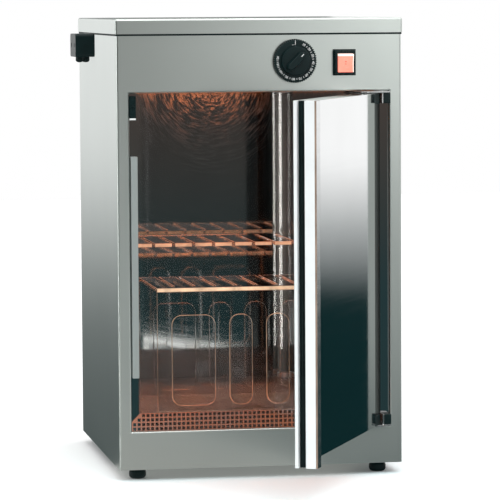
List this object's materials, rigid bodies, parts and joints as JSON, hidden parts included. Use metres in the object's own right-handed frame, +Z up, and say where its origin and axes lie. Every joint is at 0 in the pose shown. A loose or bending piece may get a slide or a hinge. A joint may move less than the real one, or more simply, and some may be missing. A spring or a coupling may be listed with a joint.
{
  "type": "knife sterilizer cabinet",
  "caption": "Stainless steel knife sterilizer cabinet with a hinged door, timer knob, lit rocker switch, lamp and clear slotted knife racks",
  "frame": {"origin": "on the floor under the feet, below the middle of the outline with the door standing ajar", "axes": "+X to the hinge side, -Y out of the door's side (the front), +Z up"},
  "size_m": [0.4136, 0.7186, 0.615],
  "materials": {
    "satin_steel": "satin, fine grain along the sheet",
    "polished_steel": "mirror polished sheet",
    "zinc_steel": "zinc plated",
    "clear_acrylic": "clear sheet with polished edges",
    "lamp_glass": "clear tube",
    "white_plastic": "moulded",
    "black_plastic": "moulded, fine texture",
    "white_profile": "white coated extrusion",
    "grey_profile": "satin anodised extrusion",
    "black_rubber": "moulded",
    "lit_red": "translucent, lit from inside",
    "magnet_grey": "flexible magnet strip, satin"
  },
  "bodies": {
    "cabinet": {"wrap_casing": "satin_steel", "top_cover": "satin_steel", "back_panel": "satin_steel", "base_pan": "satin_steel", "chamber_wrap": "polished_steel", "chamber_ceiling": "polished_steel", "chamber_floor": "polished_steel", "perforated_floor": "polished_steel", "ballast": "zinc_steel", "timer_nut": "zinc_steel", "upper_hinge_bracket": "zinc_steel", "lower_hinge_bracket": "zinc_steel", "upper_hinge_pin": "zinc_steel", "lower_hinge_pin": "zinc_steel", "foot_studs": "zinc_steel", "foot_nuts": "zinc_steel", "back_screws": "zinc_steel", "lid_screws": "zinc_steel", "lamp_caps": "zinc_steel", "front_rack_top": "clear_acrylic", "front_rack_front": "clear_acrylic", "front_rack_rear": "clear_acrylic", "rear_rack_top": "clear_acrylic", "rear_rack_left_end": "clear_acrylic", "rear_rack_right_end": "clear_acrylic", "lamp_tube": "lamp_glass", "upper_lampholder": "white_plastic", "lower_lampholder": "white_plastic", "starter_base": "white_plastic", "starter": "white_plastic", "terminal_block": "white_plastic", "timer_body": "black_plastic", "switch_body": "black_plastic", "door_switch": "black_plastic", "inlet_housing": "black_plastic", "cord_entry": "black_plastic", "upper_hinge_foot": "black_plastic", "lower_hinge_foot": "black_plastic", "feet": "black_rubber", "magnet_strip": "magnet_grey"},
    "door": {"door_panel": "polished_steel", "door_liner": "polished_steel", "handle_profile": "white_profile", "groove_strip": "black_rubber", "hinge_profile": "grey_profile", "upper_pivot_block": "black_plastic", "lower_pivot_block": "black_plastic"},
    "knob": {"timer_knob": "black_plastic", "timer_shaft": "zinc_steel"},
    "rocker": {"switch_rocker": "lit_red"},
    "plunger": {"switch_plunger": "white_plastic"}
  },
  "joints": [
    {"name": "door_hinge", "type": "hinge", "parent": "cabinet", "child": "door", "pos_m": [0.15395, -0.07, 0.3], "axis": [0, 0, 1], "range_deg": [-64, 51]},
    {"name": "timer_turn", "type": "hinge", "parent": "cabinet", "child": "knob", "pos_m": [0.05975, -0.0538, 0.558], "axis": [0, 1, 0], "range_deg": [0, 280]},
    {"name": "switch_rock", "type": "hinge", "parent": "cabinet", "child": "rocker", "pos_m": [0.12725, -0.0568, 0.5555], "axis": [1, 0, 0], "range_deg": [-12, 0]},
    {"name": "plunger_slide", "type": "slide", "parent": "cabinet", "child": "plunger", "axis": [0, 1, 0], "range_m": [0, 0.003], "stiffness_N_per_m": 200}
  ]
}
